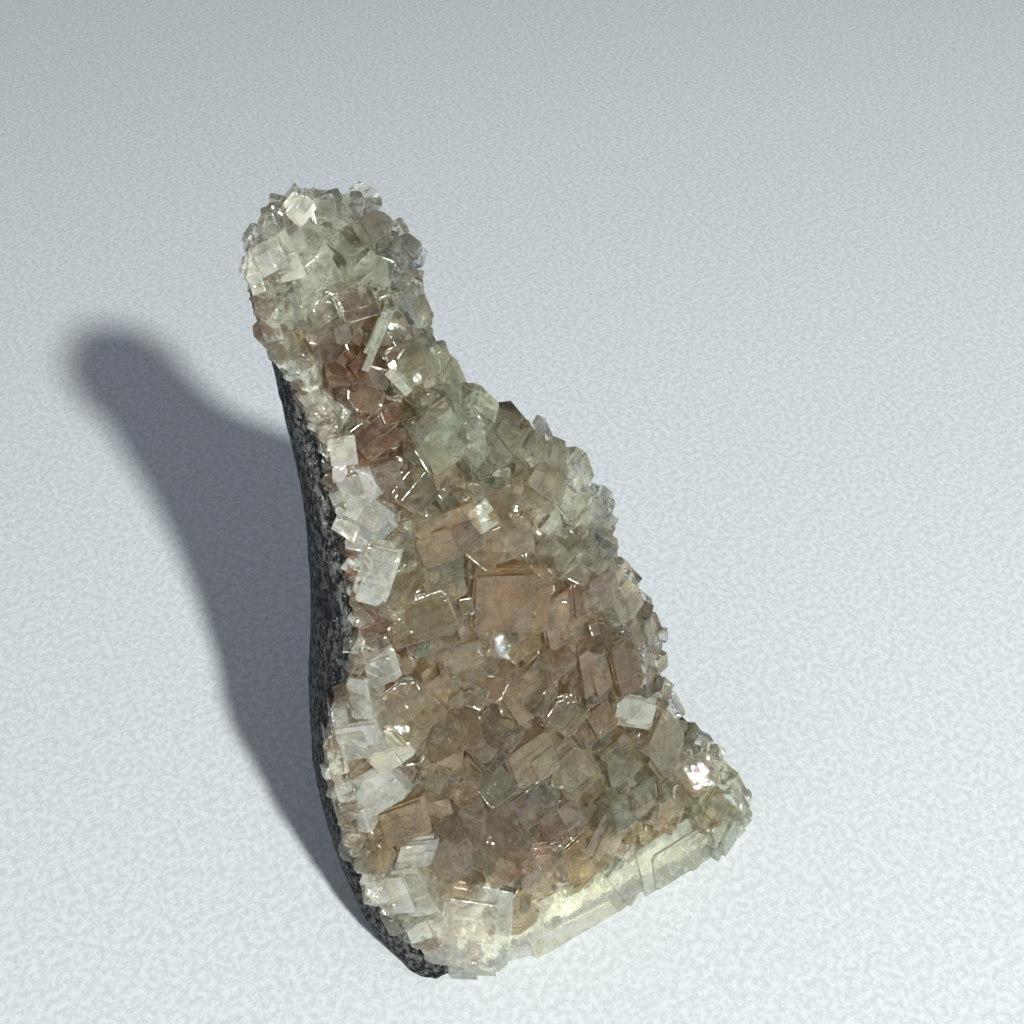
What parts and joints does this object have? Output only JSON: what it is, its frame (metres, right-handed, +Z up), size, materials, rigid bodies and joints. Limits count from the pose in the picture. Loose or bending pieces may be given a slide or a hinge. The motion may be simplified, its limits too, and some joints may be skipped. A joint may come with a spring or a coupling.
{
  "type": "apophyllite freeform",
  "caption": "Upright crystal freeform: a crust of blocky translucent crystals on a dark ground rock with a flat cut base.",
  "frame": {"origin": "middle of the rock's flat cut base, on the surface it stands on", "axes": "+Z up, the crystal face looks towards -Y and leans back, +X on its right as seen from the front"},
  "size_m": [0.0673, 0.05, 0.1184],
  "materials": {
    "basalt": "rough ground rock, dark grey with fine light specks",
    "apophyllite": "glassy, slightly milky, grey-green to peach brown"
  },
  "bodies": {
    "root": {"basalt_matrix": "basalt", "apophyllite_crust": "apophyllite"}
  },
  "joints": []
}
